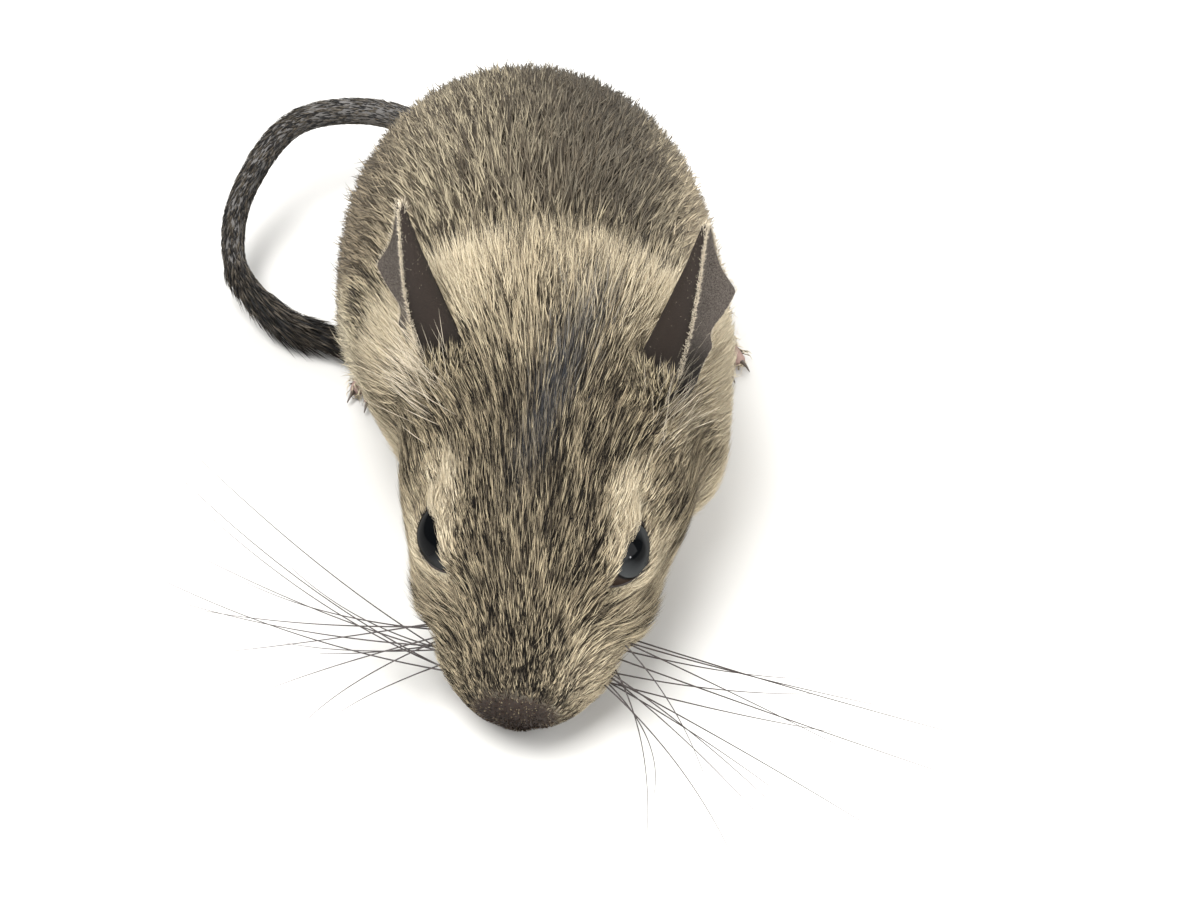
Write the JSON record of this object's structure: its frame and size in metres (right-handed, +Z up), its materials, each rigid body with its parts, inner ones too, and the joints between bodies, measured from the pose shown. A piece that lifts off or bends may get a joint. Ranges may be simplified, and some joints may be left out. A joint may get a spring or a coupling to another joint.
{
  "type": "degu figure",
  "caption": "Still life-size model of a young degu that crouches with its head lowered, ears raised and its tufted tail curled round one flank",
  "frame": {"origin": "on the floor, below the middle of the whole animal's box", "axes": "the animal faces -Y, +X is its left side and +Z is up"},
  "size_m": [0.0906, 0.1174, 0.0492],
  "materials": {
    "coat": "matt",
    "ear_skin": "satin",
    "eye": "gloss",
    "whisker": "satin",
    "tail": "matt"
  },
  "bodies": {
    "root": {"head": "coat", "neck": "coat", "torso": "coat", "ear_left": "ear_skin", "ear_right": "ear_skin", "eye_left": "eye", "eye_right": "eye", "whisker_pad_left": "whisker", "whisker_pad_right": "whisker", "hind_leg_left": "coat", "hind_leg_right": "coat", "foreleg_left": "coat", "foreleg_right": "coat", "tail_root": "tail", "tail_middle": "tail", "tail_end": "tail", "tail_tuft": "tail"}
  },
  "joints": []
}
